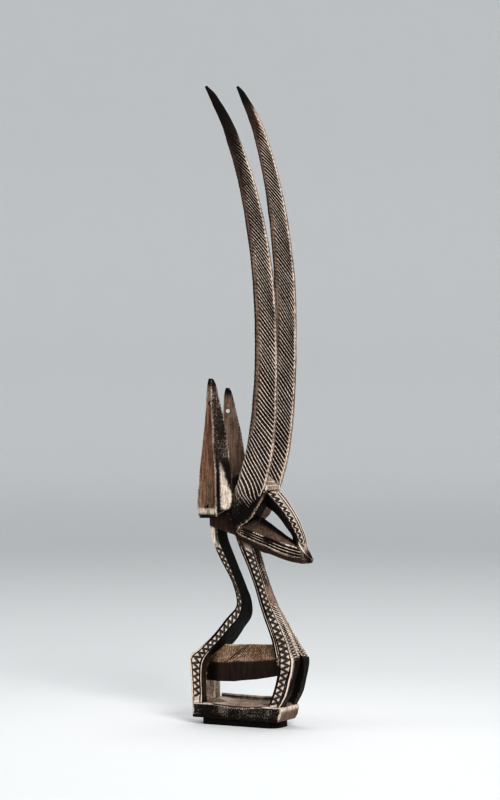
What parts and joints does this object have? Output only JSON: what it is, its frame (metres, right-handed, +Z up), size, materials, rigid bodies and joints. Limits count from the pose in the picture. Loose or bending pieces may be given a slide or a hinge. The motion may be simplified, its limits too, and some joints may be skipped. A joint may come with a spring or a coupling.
{
  "type": "chiwara headdress",
  "caption": "Tall carved wooden antelope crest: curved ringed horns, long ears, pierced muzzle and openwork body on a plinth with a dark foot slab.",
  "frame": {"origin": "centre of the foot slab's underside", "axes": "+Z up to the tips of the horns, +X the way the muzzle points, +Y to the carving's left"},
  "size_m": [0.1544, 0.0833, 0.7729],
  "materials": {
    "carved_wood": "dark brown patina, rubbed paler on the edges of the knife work",
    "blackened_wood": "dull black"
  },
  "bodies": {
    "root": {"antelope_carving": "carved_wood", "foot_slab": "blackened_wood"}
  },
  "joints": []
}
